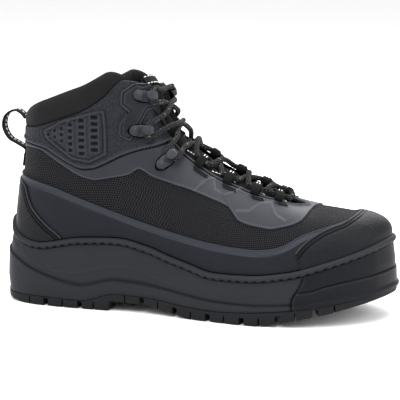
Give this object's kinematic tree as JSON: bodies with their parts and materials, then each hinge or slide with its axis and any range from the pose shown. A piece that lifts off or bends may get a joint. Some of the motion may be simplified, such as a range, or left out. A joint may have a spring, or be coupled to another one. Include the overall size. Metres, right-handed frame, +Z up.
{
  "type": "wading boot",
  "caption": "Lace-up wading boot with a lugged rubber sole, film rand, toe bumper, padded collar, webbing lace loops, hooks and a heel pull loop.",
  "frame": {"origin": "on the floor under the middle of the heel, on the central heel lug", "axes": "+X toward the toe, -Y to the outer (lateral) side, +Z up"},
  "size_m": [0.3313, 0.1192, 0.1925],
  "materials": {
    "outsole_rubber": "matte",
    "midsole_rubber": "matte",
    "bumper_rubber": "satin",
    "insole_foam": "matte",
    "mesh_fabric": "woven",
    "rand_film": "satin",
    "moulded_film": "satin",
    "guard_plastic": "grained",
    "eyestay_film": "satin",
    "collar_fabric": "soft knit",
    "tongue_fabric": "soft knit",
    "webbing": "woven",
    "hook_metal": "satin",
    "lace_cord": "braided"
  },
  "bodies": {
    "root": {"outsole": "outsole_rubber", "midsole": "midsole_rubber", "toe_bumper": "bumper_rubber", "welt": "midsole_rubber", "insole": "insole_foam", "upper": "mesh_fabric", "rand": "rand_film", "toe_cap": "moulded_film", "heel_counter": "moulded_film", "ankle_guard": "guard_plastic", "hook_plate_lateral": "guard_plastic", "hook_plate_medial": "guard_plastic", "eyestay": "eyestay_film", "collar": "collar_fabric", "tongue": "tongue_fabric", "tongue_keeper": "webbing", "lace_loop_lateral_1": "webbing", "lace_loop_lateral_2": "webbing", "lace_loop_lateral_3": "webbing", "lace_loop_lateral_4": "webbing", "lace_loop_medial_1": "webbing", "lace_loop_medial_2": "webbing", "lace_loop_medial_3": "webbing", "lace_loop_medial_4": "webbing", "pull_loop": "webbing", "lace_hook_lateral_low": "hook_metal", "lace_hook_lateral_middle": "hook_metal", "lace_hook_lateral_top": "hook_metal", "lace_hook_medial_low": "hook_metal", "lace_hook_medial_middle": "hook_metal", "lace_hook_medial_top": "hook_metal", "lace_crossing_1": "lace_cord", "lace_crossing_2": "lace_cord", "lace_crossing_3": "lace_cord", "lace_crossing_4": "lace_cord", "lace_crossing_5": "lace_cord", "lace_crossing_6": "lace_cord", "lace_front_bar": "lace_cord", "lace_top_bar": "lace_cord"}
  },
  "joints": []
}
